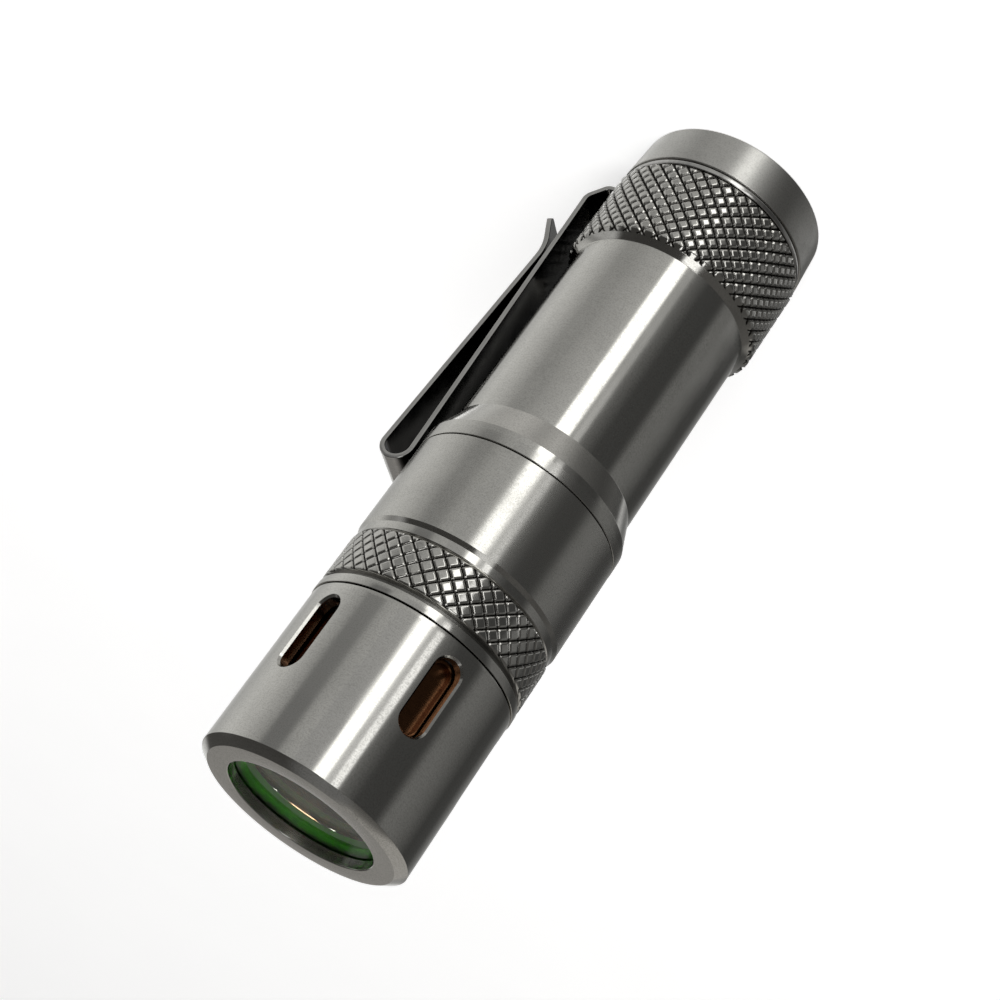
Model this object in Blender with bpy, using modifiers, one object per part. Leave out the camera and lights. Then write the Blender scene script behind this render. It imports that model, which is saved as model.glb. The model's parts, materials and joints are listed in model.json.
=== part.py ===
"""Keychain flashlight: a slim titanium light for one 14300 cell, with a copper core and a pocket clip.

Frame: the light stands on its tail. The origin is on the axis in the plane of the tail rim, +Z points
out of the lens and the pocket clip is on the +X side.
Dimensions are in millimetres. A turned piece is a profile of (radius, height) points.
"""

import math

import bmesh
import bpy
from mathutils import Matrix, Vector

MM = 0.001

# Clearances
FACE_GAP = 0.1  # between two pieces that meet face to face
THREAD_GAP = 0.15  # radial, between a smooth stand-in thread and its mate

# Outer shape, heights from the tail rim
RING_R_END, RING_R_TOP = 8.6, 8.87
RING_TOP = 4.13
WASHER_Z, WASHER_T, WASHER_R = 4.48, 0.5, 8.75
KNURL_R_TAIL, KNURL_R_HEAD = 8.95, 9.05
BARREL_Z = WASHER_Z + WASHER_T / 2 + FACE_GAP
KNURL_END, TUBE_START = 12.8, 13.6
TUBE_R, TUBE_END = 8.17, 32.8
SHOULDER_R, SHOULDER_START, SHOULDER_END = 9.13, 35.4, 36.85
MID_R, MID_END = 9.11, 45.6
COLLAR_R, COLLAR_START, COLLAR_END = 8.89, 45.9, 46.7
HEAD_KNURL_END = 50.76
BAND_R, BAND_START, BAND_END = 9.08, 51.3, 52.15
HEAD_R, HEAD_CHAMFER_Z = 9.0, 66.5
FACE_R, FACE_Z = 8.17, 67.06
OPENING_R = 6.36

# Cooling slots of the bezel
SLOT_COUNT, SLOT_FIRST = 5, 6.0  # degrees from the clip
SLOT_W, SLOT_L, SLOT_MID_Z = 2.3, 6.7, 56.85
POCKET_DEPTH = 0.45

# Bores and the power cell
CELL_R, CELL_Z, CELL_L = 7.0, 12.3, 30.0
BORE_R = 7.2
TAIL_NECK_R, TAIL_NECK_END = 7.45, 10.4
TAIL_THREAD_R, TAIL_THREAD_END = TAIL_NECK_R + THREAD_GAP, 10.8
HEAD_NECK_R, HEAD_NECK_END = 8.0, 42.6
HEAD_THREAD_R, HEAD_THREAD_END = HEAD_NECK_R + THREAD_GAP, 43.0
CORE_SEAT_R = 7.7
BEZEL_BORE_R, LIP_Z = 8.0, 66.2

# Tail switch
LIP_R, LIP_TOP = 5.0, 2.8
BUTTON_R, BUTTON_FACE, BUTTON_TOP = 4.85, 0.3, 3.5
FLANGE_R = 5.5
SWITCH_BORE_R, SWITCH_SEAT = 5.7, 7.6
BOARD_BORE_R, BOARD_R = 6.3, 6.2
TAIL_BOARD_Z, TAIL_BOARD_T = 7.7, 0.8

# Pocket clip, bent from one strip; its line runs in the XZ plane
CLIP_W, CLIP_T = 6.2, 0.48
LEG_OUT = Vector((9.3, WASHER_Z))
CLIP_CORNER = Vector((10.62, 6.0))
CLIP_HEEL = Vector((9.45, 36.3))
INNER_ARM = CLIP_HEEL - CLIP_CORNER
BEND_R = 1.33
CLIP_TOUCH = Vector((10.91, 12.7))
CLIP_TIP = Vector((12.45, 9.3))
LIFT_LINE = CLIP_CORNER + INNER_ARM * 0.07  # where the inner arm flexes, just above the corner

# Rubber rings: line radius, cord radius, height
TAIL_ORING = (7.85, 0.27, 6.0)
BUTTON_ORING = (4.62, 0.28, 1.2)
BARREL_ORING = (7.83, 0.25, 38.0)
BEZEL_ORING = (7.52, 0.30, 53.2)
GROOVE_DEEP, GROOVE_WIDE = 0.15, 0.06  # room behind and on each side of a rubber ring

# Light engine
CORE_R, CORE_END = 7.6, 64.1
CORE_FRONT_R = 7.75
CUP_R, CUP_FLOOR = 6.75, 56.7
DRIVER_CUP_R, DRIVER_CUP_TOP = 6.95, 48.2
DRIVER_Z, DRIVER_T = 44.3, 0.9
LED_BOARD_Z, LED_BOARD_T, LED_BOARD_R = 56.8, 1.0, 6.6
GLASS_R, GLASS_Z, GLASS_T = 7.8, 64.95, 1.15
WIRE_R, WIRE_OUT = 0.32, 5.5

BIG, MEDIUM, SMALL = 32, 24, 16  # steps round a turned piece, by its size


# ---------------------------------------------------------------- scene, collections, materials


def clear_scene():
    for old in list(bpy.data.objects):
        bpy.data.objects.remove(old)


def new_collection(name):
    made = bpy.data.collections.new(name)
    bpy.context.scene.collection.children.link(made)
    return made


clear_scene()
PARTS = new_collection("keychain_flashlight")
CUTTERS = new_collection("cutters")


def material(name, colour, metallic, roughness, alpha=1.0):
    made = bpy.data.materials.new(name)
    made.use_nodes = True
    shader = made.node_tree.nodes["Principled BSDF"]
    shader.inputs["Base Color"].default_value = (*colour, 1.0)
    shader.inputs["Metallic"].default_value = metallic
    shader.inputs["Roughness"].default_value = roughness
    shader.inputs["Alpha"].default_value = alpha
    return made


TITANIUM = material("titanium", (0.50, 0.49, 0.46), 1.0, 0.30)
CLIP_STEEL = material("clip_steel", (0.36, 0.35, 0.33), 1.0, 0.22)
SPRING_STEEL = material("spring_steel", (0.62, 0.60, 0.55), 1.0, 0.25)
GOLD_PLATE = material("gold_plate", (0.83, 0.62, 0.28), 1.0, 0.25)
COPPER = material("copper", (0.75, 0.38, 0.22), 1.0, 0.30)
BRASS = material("brass", (0.74, 0.58, 0.30), 1.0, 0.30)
NICKEL = material("nickel_plate", (0.66, 0.65, 0.62), 1.0, 0.28)
RUBBER = material("black_rubber", (0.03, 0.03, 0.03), 0.0, 0.70)
GLOW_RUBBER = material("glow_rubber", (0.16, 0.42, 0.08), 0.0, 0.55)
GLASS = material("lens_glass", (0.86, 0.92, 0.86), 0.0, 0.03, 0.25)
ACRYLIC = material("optic_acrylic", (0.80, 0.84, 0.78), 0.0, 0.05, 0.5)
WHITE_PLASTIC = material("white_plastic", (0.82, 0.82, 0.80), 0.0, 0.45)
BLACK_PLASTIC = material("black_plastic", (0.04, 0.04, 0.04), 0.0, 0.40)
CELL_SLEEVE = material("cell_sleeve", (0.55, 0.62, 0.70), 0.0, 0.30)
BOARD_GREEN = material("circuit_board", (0.03, 0.22, 0.10), 0.0, 0.40)
BOARD_WHITE = material("led_board_mask", (0.78, 0.78, 0.74), 0.0, 0.40)
PHOSPHOR = material("led_phosphor", (0.95, 0.78, 0.20), 0.0, 0.35)
WIRE_RED = material("red_wire", (0.60, 0.03, 0.03), 0.0, 0.45)
WIRE_BLACK = material("black_wire", (0.03, 0.03, 0.03), 0.0, 0.45)


# ---------------------------------------------------------------- bodies and shape helpers


def body_empty(name, x=0.0, z=0.0):
    """The parent of one moving body, on the axis of the joint that moves it."""
    made = bpy.data.objects.new(name, None)
    made.location = (x * MM, 0, z * MM)
    made.empty_display_size = 4 * MM
    PARTS.objects.link(made)
    return made


TAIL = body_empty("body_tail")
SEAL = body_empty("body_seal")
BARREL = body_empty("body_barrel")
CELL = body_empty("body_cell")
HEAD = body_empty("body_head")
BUTTON = body_empty("body_button")
CLIP_BASE = body_empty("body_clip_base")
CLIP_INNER = body_empty("body_clip_inner", LIFT_LINE.x, LIFT_LINE.y)
CLIP_OUTER = body_empty("body_clip_outer", CLIP_HEEL.x, CLIP_HEEL.y)


def hold(piece, parent, look):
    """Gives a piece its material and its parent, leaving it where it is."""
    piece.data.materials.clear()
    piece.data.materials.append(look)
    piece.parent = parent
    piece.matrix_parent_inverse = Matrix.Translation(-parent.location)
    return piece


def mesh_object(name, shape, collection=PARTS):
    mesh = bpy.data.meshes.new(name)
    shape.to_mesh(mesh)
    shape.free()
    made = bpy.data.objects.new(name, mesh)
    collection.objects.link(made)
    return made


def turned(name, profile, parent, look, steps=BIG, solid=False):
    """Spins a profile about Z. It starts at the top, runs down the outside and, unless the piece is
    solid to its axis, back up the inside and shut."""
    shape = bmesh.new()
    points = [shape.verts.new((r * MM, 0, z * MM)) for r, z in profile]
    for one, two in zip(points, points[1:]):
        shape.edges.new((one, two))
    if not solid:
        shape.edges.new((points[-1], points[0]))
    made = mesh_object(name, shape)
    screw = made.modifiers.new("spin", "SCREW")
    screw.steps = screw.render_steps = steps
    screw.use_merge_vertices = True
    screw.merge_threshold = 1e-6
    screw.use_smooth_shade = False
    return hold(made, parent, look)


def disc(name, radius, z, height, parent, look, steps=SMALL, bevel=0.1):
    """A round plate with small edge chamfers."""
    top = z + height
    profile = [(0, top), (radius - bevel, top), (radius, top - bevel), (radius, z + bevel)]
    profile += [(radius - bevel, z), (0, z)]
    return turned(name, profile, parent, look, steps, solid=True)


def ring(name, outer, inner, z, height, parent, look, steps=SMALL, bevel=0.1):
    """A flat ring with small chamfers on its outer edges."""
    top = z + height
    profile = [(inner, top), (outer - bevel, top), (outer, top - bevel), (outer, z + bevel)]
    profile += [(outer - bevel, z), (inner, z)]
    return turned(name, profile, parent, look, steps)


def outer_groove(size):
    """Floor radius, lower edge and upper edge of the groove round a piece that holds a rubber ring."""
    line_r, cord_r, z = size
    half = cord_r + GROOVE_WIDE
    return line_r - cord_r - GROOVE_DEEP, z - half, z + half


def oring(name, size, parent, look, steps=MEDIUM, sides=6):
    """A rubber ring of round section; its points run down the outside and up the inside."""
    line_r, cord_r, z = size
    turns = [math.pi / 2 - 2 * math.pi * i / sides for i in range(sides)]
    profile = [(line_r + cord_r * math.cos(a), z + cord_r * math.sin(a)) for a in turns]
    return turned(name, profile, parent, look, steps)


def box(name, size, centre, parent, look):
    shape = bmesh.new()
    bmesh.ops.create_cube(shape, size=MM)
    bmesh.ops.scale(shape, vec=size, verts=shape.verts)
    bmesh.ops.translate(shape, vec=Vector(centre) * MM, verts=shape.verts)
    made = mesh_object(name, shape)
    edge = made.modifiers.new("edges", "BEVEL")
    edge.width = 0.08 * MM
    edge.segments = 1
    return hold(made, parent, look)


def wire(name, points, radius, parent, look):
    """A round wire along a line of points, with filled ends."""
    curve = bpy.data.curves.new(name, "CURVE")
    curve.dimensions = "3D"
    curve.bevel_depth = radius * MM
    curve.bevel_resolution = 2
    curve.use_fill_caps = True
    spline = curve.splines.new("POLY")
    spline.points.add(len(points) - 1)
    for point, place in zip(spline.points, points):
        point.co = (*(Vector(place) * MM), 1)
    made = bpy.data.objects.new(name, curve)
    PARTS.objects.link(made)
    return hold(made, parent, look)


def coil(name, bottom_r, top_r, z, height, turns, wire_r, parent, look, per_turn=10):
    """A compression spring, its end turns level and its line radius easing from bottom to top."""
    count = round(turns * per_turn)
    points = []
    for i in range(count + 1):
        share = i / count
        angle = 2 * math.pi * turns * share
        rise = share * share * (3 - 2 * share)
        radius = bottom_r + (top_r - bottom_r) * share
        height_here = z + wire_r + (height - 2 * wire_r) * rise
        points.append((radius * math.cos(angle), radius * math.sin(angle), height_here))
    return wire(name, points, wire_r, parent, look)


def cut(piece, cutter, operation="DIFFERENCE"):
    """Cuts a piece with a hidden helper object, or joins the helper to it."""
    for old in list(cutter.users_collection):
        old.objects.unlink(cutter)
    CUTTERS.objects.link(cutter)
    cutter.hide_render = True
    cutter.display_type = "WIRE"
    boolean = piece.modifiers.new(cutter.name, "BOOLEAN")
    boolean.operation = operation
    boolean.object = cutter
    return boolean


def fillet(points, radii, steps=4):
    """A line of 2D points whose inner corners are rounded to the given radii."""
    line = [points[0]]
    for before, corner, after, radius in zip(points, points[1:], points[2:], radii):
        into = (before - corner).normalized()
        out = (after - corner).normalized()
        half = into.angle(out) / 2
        centre = corner + (into + out).normalized() * (radius / math.sin(half))
        first = corner + into * (radius / math.tan(half)) - centre
        last = corner + out * (radius / math.tan(half)) - centre
        turn = math.atan2(first.x * last.y - first.y * last.x, first.dot(last))
        for i in range(steps + 1):
            angle = turn * i / steps
            spun = Vector((
                first.x * math.cos(angle) - first.y * math.sin(angle),
                first.x * math.sin(angle) + first.y * math.cos(angle),
            ))
            line.append(centre + spun)
    line.append(points[-1])
    return line


def strip(name, line, width, thickness, parent, look):
    """Sheet metal: a ribbon along a line in the XZ plane, thickened evenly."""
    shape = bmesh.new()
    sides = [
        [shape.verts.new((p.x * MM, side * width / 2 * MM, p.y * MM)) for p in line]
        for side in (-1, 1)
    ]
    for i in range(len(line) - 1):
        shape.faces.new((sides[0][i], sides[0][i + 1], sides[1][i + 1], sides[1][i]))
    made = mesh_object(name, shape)
    sheet = made.modifiers.new("sheet", "SOLIDIFY")
    sheet.thickness = thickness * MM
    sheet.offset = 0
    sheet.use_even_offset = True
    return hold(made, parent, look)


# ---------------------------------------------------------------- tail: ring, switch, button


def make_tail_ring():
    """Smooth end ring with a threaded neck inside the barrel and a lip that holds the button in."""
    outside = [
        (BOARD_BORE_R, TAIL_NECK_END),
        (TAIL_NECK_R - 0.3, TAIL_NECK_END),
        (TAIL_NECK_R, TAIL_NECK_END - 0.3),
        (TAIL_NECK_R, RING_TOP),
        (RING_R_TOP - 0.12, RING_TOP),
        (RING_R_TOP, RING_TOP - 0.12),
        (RING_R_END, 0.25),
        (RING_R_END - 0.25, 0),
    ]
    inside = [
        (LIP_R + 0.3, 0),
        (LIP_R, 0.3),
        (LIP_R, LIP_TOP),
        (SWITCH_BORE_R, LIP_TOP),
        (SWITCH_BORE_R, SWITCH_SEAT),
        (BOARD_BORE_R, SWITCH_SEAT),
    ]
    turned("tail_ring", outside + inside, TAIL, TITANIUM)


def make_switch():
    """Push-switch module, its board and the ring that clamps it, and the spring behind the cell."""
    base, top = 4.8, TAIL_BOARD_Z - FACE_GAP
    housing = [(2.6, top), (4.3, top), (4.3, base), (1.8, base), (1.8, base + 0.7), (2.6, base + 0.7)]
    turned("switch_housing", housing, TAIL, BLACK_PLASTIC, SMALL)
    disc("switch_board", BOARD_R, TAIL_BOARD_Z, TAIL_BOARD_T, TAIL, BOARD_GREEN, MEDIUM)
    clamp_z = TAIL_BOARD_Z + TAIL_BOARD_T + FACE_GAP
    ring("switch_retaining_ring", BOARD_R, 4.9, clamp_z, 1.6, TAIL, BRASS, MEDIUM)
    board_top = TAIL_BOARD_Z + TAIL_BOARD_T
    gap = CELL_Z - board_top
    coil("tail_spring", 3.6, 2.2, board_top + 0.06, gap - 0.16, 4.5, 0.28, TAIL, GOLD_PLATE, 8)
    collar_top, roof = base + 1.5, TAIL_BOARD_Z
    spring_gap = roof - collar_top
    coil("switch_spring", 1.9, 1.9, collar_top + 0.06, spring_gap - 0.12, 2.5, 0.14, TAIL,
         SPRING_STEEL, 8)


def make_button():
    """Flush tail button with a sealing ring, and the plunger that it pushes into the switch."""
    groove_r, groove_low, groove_high = outer_groove(BUTTON_ORING)
    body = [
        (0, BUTTON_TOP),
        (FLANGE_R, BUTTON_TOP),
        (FLANGE_R, LIP_TOP + FACE_GAP),
        (BUTTON_R, LIP_TOP + FACE_GAP),
        (BUTTON_R, groove_high),
        (groove_r, groove_high),
        (groove_r, groove_low),
        (BUTTON_R, groove_low),
        (BUTTON_R, BUTTON_FACE + 0.25),
        (BUTTON_R - 0.25, BUTTON_FACE),
        (0, BUTTON_FACE),
    ]
    turned("tail_button", body, BUTTON, TITANIUM, BIG, solid=True)
    oring("button_oring", BUTTON_ORING, BUTTON, RUBBER)
    plunger = [
        (0, 6.3),
        (2.3, 6.3),
        (2.3, 5.7),
        (1.5, 5.7),
        (1.5, BUTTON_TOP + FACE_GAP),
        (0, BUTTON_TOP + FACE_GAP),
    ]
    turned("switch_plunger", plunger, BUTTON, WHITE_PLASTIC, SMALL, solid=True)


# ---------------------------------------------------------------- pocket clip


def make_clip():
    """Two-way clip: a washer under the barrel, a leg, an inner arm, a heel bend and an outer arm."""
    half_gap = INNER_ARM.normalized() * FACE_GAP / 2

    ring("clip_washer", WASHER_R, TAIL_NECK_R + THREAD_GAP, WASHER_Z - WASHER_T / 2, WASHER_T,
         CLIP_BASE, CLIP_STEEL, BIG, 0.08)
    leg_line = fillet([Vector((7.9, WASHER_Z)), LEG_OUT, CLIP_CORNER, LIFT_LINE - half_gap], [0.7, 1.0])
    leg = strip("clip_leg", leg_line, CLIP_W, CLIP_T, CLIP_BASE, CLIP_STEEL)
    cut(bpy.data.objects["clip_washer"], leg, "UNION")

    inner_line = [LIFT_LINE + half_gap, CLIP_HEEL - half_gap * 2]
    strip("clip_inner_arm", inner_line, CLIP_W, CLIP_T, CLIP_INNER, CLIP_STEEL)

    middle = CLIP_HEEL + Vector((BEND_R, 0))
    bend = []
    for i in range(9):
        angle = math.pi - math.pi * i / 8
        bend.append(middle + BEND_R * Vector((math.cos(angle), math.sin(angle))))
    outer = fillet([bend[-1], CLIP_TOUCH, CLIP_TIP], [5.0], 6)
    strip("clip_outer_arm", bend + outer[1:], CLIP_W, CLIP_T, CLIP_OUTER, CLIP_STEEL)


# ---------------------------------------------------------------- barrel and cell


def make_barrel():
    """Cell tube with the tail grip, the shoulder and the neck that screws into the head."""
    groove_r, groove_low, groove_high = outer_groove(BARREL_ORING)
    outside = [
        (BORE_R, HEAD_NECK_END),
        (HEAD_NECK_R - 0.3, HEAD_NECK_END),
        (HEAD_NECK_R, HEAD_NECK_END - 0.3),
        (HEAD_NECK_R, groove_high),
        (groove_r, groove_high),
        (groove_r, groove_low),
        (HEAD_NECK_R, groove_low),
        (HEAD_NECK_R, SHOULDER_END),
        (SHOULDER_R, SHOULDER_END),
        (SHOULDER_R, SHOULDER_START),
        (TUBE_R, TUBE_END),
        (TUBE_R, TUBE_START),
        (KNURL_R_TAIL, KNURL_END),
        (KNURL_R_TAIL, BARREL_Z + 0.3),
        (KNURL_R_TAIL - 0.3, BARREL_Z),
    ]
    line_r, cord_r, groove_z = TAIL_ORING
    seal_r, half = line_r + cord_r + GROOVE_DEEP, cord_r + GROOVE_WIDE
    inside = [
        (TAIL_THREAD_R, BARREL_Z),
        (TAIL_THREAD_R, groove_z - half),
        (seal_r, groove_z - half),
        (seal_r, groove_z + half),
        (TAIL_THREAD_R, groove_z + half),
        (TAIL_THREAD_R, TAIL_THREAD_END),
        (BORE_R, TAIL_THREAD_END),
    ]
    turned("barrel", outside + inside, BARREL, TITANIUM)
    oring("barrel_oring", BARREL_ORING, BARREL, RUBBER)
    oring("tail_oring", TAIL_ORING, SEAL, RUBBER)


def make_cell():
    """Rechargeable cell: a steel can in a shrink sleeve, with an insulating washer and a raised cap."""
    top = CELL_Z + CELL_L
    can_top = top - 0.9
    can_r = CELL_R - 0.15
    can = [(0, can_top), (can_r - 0.5, can_top), (can_r, can_top - 0.5), (can_r, CELL_Z + 0.35)]
    can += [(can_r - 0.25, CELL_Z), (0, CELL_Z)]
    turned("cell_can", can, CELL, NICKEL, MEDIUM, solid=True)
    sleeve_in, sleeve_out = can_r + 0.05, CELL_R + 0.05
    ring("cell_sleeve", sleeve_out, sleeve_in, CELL_Z + 0.5, CELL_L - 2.2, CELL, CELL_SLEEVE,
         MEDIUM, 0.03)
    ring("cell_insulator", 6.1, 3.1, can_top + 0.05, 0.3, CELL, WHITE_PLASTIC, SMALL, 0.05)
    disc("cell_cap", 2.8, can_top + 0.05, 0.85, CELL, NICKEL, SMALL, 0.15)


# ---------------------------------------------------------------- head


def make_head_body():
    """Middle sleeve: plain mid section, narrow collar, knurled grip and front band."""
    outside = [
        (CORE_SEAT_R, BAND_END),
        (BAND_R - 0.1, BAND_END),
        (BAND_R, BAND_END - 0.1),
        (BAND_R, BAND_START),
        (KNURL_R_HEAD - 0.5, BAND_START),
        (KNURL_R_HEAD, HEAD_KNURL_END),
        (KNURL_R_HEAD, COLLAR_END),
        (COLLAR_R, COLLAR_END),
        (COLLAR_R, COLLAR_START),
        (MID_R, MID_END),
        (MID_R, SHOULDER_END + FACE_GAP),
    ]
    inside = [
        (HEAD_THREAD_R, SHOULDER_END + FACE_GAP),
        (HEAD_THREAD_R, HEAD_THREAD_END),
        (CORE_SEAT_R, HEAD_THREAD_END),
    ]
    turned("head_body", outside + inside, HEAD, TITANIUM)


def add_slot(shape, width, length, near, far, angle):
    """Adds a round-ended block to a cutter, pointing out from the axis through one side of the head."""
    made = bmesh.ops.create_cone(shape, cap_ends=True, segments=20, radius1=width / 2 * MM,
                                 radius2=width / 2 * MM, depth=(far - near) * MM)["verts"]
    straight = (length - width) / 2 * MM
    for vert in made:
        vert.co.x += math.copysign(straight, vert.co.x) if abs(vert.co.x) > 1e-7 else 0
    upright = Matrix.Rotation(math.pi / 2, 4, "Y")
    place = Matrix.Translation(Vector(((near + far) / 2, 0, SLOT_MID_Z)) * MM)
    turn = Matrix.Rotation(math.radians(angle), 4, "Z")
    bmesh.ops.transform(shape, matrix=turn @ place @ upright, verts=made)


def add_wire_holes(shape, low, high):
    """Adds the two round holes for the light source's wires to a cutter."""
    for side in (-1, 1):
        made = bmesh.ops.create_cone(shape, cap_ends=True, segments=12, radius1=0.6 * MM,
                                     radius2=0.6 * MM, depth=(high - low) * MM)["verts"]
        middle = Vector((0, side * WIRE_OUT, (low + high) / 2)) * MM
        bmesh.ops.translate(shape, vec=middle, verts=made)


def make_bezel():
    """Front sleeve with a chamfered rim, the lip that holds the glass and the cooling slots."""
    outside = [
        (OPENING_R + 0.25, FACE_Z),
        (FACE_R, FACE_Z),
        (HEAD_R, HEAD_CHAMFER_Z),
        (HEAD_R, BAND_END + FACE_GAP + 0.1),
        (HEAD_R - 0.1, BAND_END + FACE_GAP),
    ]
    inside = [
        (BEZEL_BORE_R, BAND_END + FACE_GAP),
        (BEZEL_BORE_R, LIP_Z),
        (OPENING_R, LIP_Z),
        (OPENING_R, FACE_Z - 0.12),
    ]
    turned("bezel_shell", outside + inside, HEAD, TITANIUM)
    oring("bezel_oring", BEZEL_ORING, HEAD, RUBBER)


def make_core():
    """Copper heat sink: a cup for the optic in front, a cup for the driver behind, a web between."""
    groove_r, groove_low, groove_high = outer_groove(BEZEL_ORING)
    outside = [
        (CUP_R, CORE_END),
        (CORE_FRONT_R - 0.2, CORE_END),
        (CORE_FRONT_R, CORE_END - 0.2),
        (CORE_FRONT_R, groove_high),
        (groove_r, groove_high),
        (groove_r, groove_low),
        (CORE_R, groove_low),
        (CORE_R, HEAD_THREAD_END + FACE_GAP),
        (DRIVER_CUP_R, HEAD_THREAD_END + FACE_GAP),
        (DRIVER_CUP_R, DRIVER_CUP_TOP),
        (0, DRIVER_CUP_TOP),
    ]
    profile = [(0, CUP_FLOOR), (CUP_R, CUP_FLOOR)] + outside
    turned("copper_core", profile, HEAD, COPPER, solid=True)


def cut_head():
    """Slots through the bezel, a shallow pocket in the copper behind each, and the wire holes."""
    windows, hollows = bmesh.new(), bmesh.new()
    for i in range(SLOT_COUNT):
        angle = SLOT_FIRST + 360 / SLOT_COUNT * i
        add_slot(windows, SLOT_W, SLOT_L, BEZEL_BORE_R - 0.5, HEAD_R + 1, angle)
        floor_r = CORE_FRONT_R - POCKET_DEPTH
        add_slot(hollows, SLOT_W * 0.8, SLOT_L * 0.92, floor_r, HEAD_R, angle)
    add_wire_holes(hollows, DRIVER_CUP_TOP - 1, CUP_FLOOR + 1)
    cut(bpy.data.objects["bezel_shell"], mesh_object("slots", windows, CUTTERS))
    cut(bpy.data.objects["copper_core"], mesh_object("core_hollows", hollows, CUTTERS))


def make_driver():
    """Driver board with its parts, the ring that clamps it and the contact for the cell."""
    ring_z = HEAD_THREAD_END + FACE_GAP + 0.05
    ring("driver_retaining_ring", DRIVER_CUP_R - 0.1, 5.3, ring_z, DRIVER_Z - FACE_GAP - ring_z, HEAD,
         BRASS, MEDIUM)
    disc("driver_board", DRIVER_CUP_R - 0.1, DRIVER_Z, DRIVER_T, HEAD, BOARD_GREEN, MEDIUM)
    contact_z = CELL_Z + CELL_L + FACE_GAP
    disc("driver_contact", 2.4, contact_z, DRIVER_Z - 0.05 - contact_z, HEAD, GOLD_PLATE, SMALL, 0.3)
    top = DRIVER_Z + DRIVER_T + 0.05
    box("driver_inductor", (3.6, 3.6, 1.9), (-2.2, 0, top + 0.95), HEAD, BLACK_PLASTIC)
    box("driver_chip", (3.0, 2.6, 0.9), (2.4, 0, top + 0.45), HEAD, BLACK_PLASTIC)


def make_led():
    """Light source on its round board, in a centring ring, with its two wires."""
    disc("led_board", LED_BOARD_R, LED_BOARD_Z, LED_BOARD_T, HEAD, BOARD_WHITE, MEDIUM)
    top = LED_BOARD_Z + LED_BOARD_T
    holes = bmesh.new()
    add_wire_holes(holes, LED_BOARD_Z - 1, top + 1)
    cut(bpy.data.objects["led_board"], mesh_object("board_holes", holes, CUTTERS))
    box("led_package", (3.4, 3.4, 0.7), (0, 0, top + 0.4), HEAD, WHITE_PLASTIC)
    dome_z, dome_r = top + 0.8, 1.25
    dome = [(0, dome_z + 0.9)]
    dome += [
        (dome_r * math.sin(math.radians(a)), dome_z + 0.9 * math.cos(math.radians(a)))
        for a in (25, 50, 72, 90)
    ]
    dome.append((0, dome_z))
    turned("led_dome", dome, HEAD, PHOSPHOR, SMALL, solid=True)
    holder = [(2.6, top + 1.1), (3.3, top + 1.1), (3.9, top + 0.5), (3.9, top + 0.06), (2.6, top + 0.06)]
    turned("optic_holder", holder, HEAD, WHITE_PLASTIC, SMALL)
    for side, name, look in ((-1, "led_wire_red", WIRE_RED), (1, "led_wire_black", WIRE_BLACK)):
        low = DRIVER_Z + DRIVER_T + WIRE_R + 0.1
        rise = top + WIRE_R + 0.1
        route = [
            Vector((0, side * 4.2, low)),
            Vector((0, side * (WIRE_OUT - 0.5), low + 0.1)),
            Vector((0, side * (WIRE_OUT - 0.1), low + 0.5)),
            Vector((0, side * WIRE_OUT, low + 1.2)),
            Vector((0, side * WIRE_OUT, rise - 0.9)),
            Vector((0, side * (WIRE_OUT - 0.12), rise - 0.25)),
            Vector((0, side * (WIRE_OUT - 0.5), rise)),
            Vector((0, side * 4.35, rise)),
        ]
        wire(name, route, WIRE_R, HEAD, look)


def make_optics():
    """Moulded optic, the glowing gasket on its rim and the front glass."""
    foot = LED_BOARD_Z + LED_BOARD_T + 1.25
    rim_top = CORE_END
    optic = [
        (0, rim_top),
        (CUP_R - 0.15, rim_top),
        (CUP_R - 0.15, rim_top - 0.7),
        (CUP_R - 0.55, rim_top - 0.75),
        (5.3, rim_top - 2.6),
        (3.9, foot + 0.9),
        (3.2, foot),
        (1.9, foot),
        (1.9, foot + 1.2),
        (1.2, foot + 1.5),
        (0, foot + 1.6),
    ]
    turned("tir_optic", optic, HEAD, ACRYLIC, MEDIUM, solid=True)
    gasket_z = CORE_END + 0.1
    ring("glow_gasket", BEZEL_BORE_R - 0.15, 5.75, gasket_z, GLASS_Z - 0.05 - gasket_z, HEAD,
         GLOW_RUBBER, MEDIUM, 0.15)
    disc("lens_glass", GLASS_R, GLASS_Z, GLASS_T, HEAD, GLASS, MEDIUM, 0.15)


def shade():
    """Round pieces read as round, with their edges kept crisp."""
    for piece in PARTS.objects:
        if piece.type == "MESH":
            piece.data.shade_smooth()
            piece.data.set_sharp_from_angle(angle=math.radians(30))


make_tail_ring()
make_switch()
make_button()
make_clip()
make_barrel()
make_cell()
make_head_body()
make_bezel()
make_core()
cut_head()
make_driver()
make_led()
make_optics()
shade()
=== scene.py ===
import json
import math

import bmesh
import bpy
import numpy as np
from mathutils import Matrix, Vector


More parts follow.
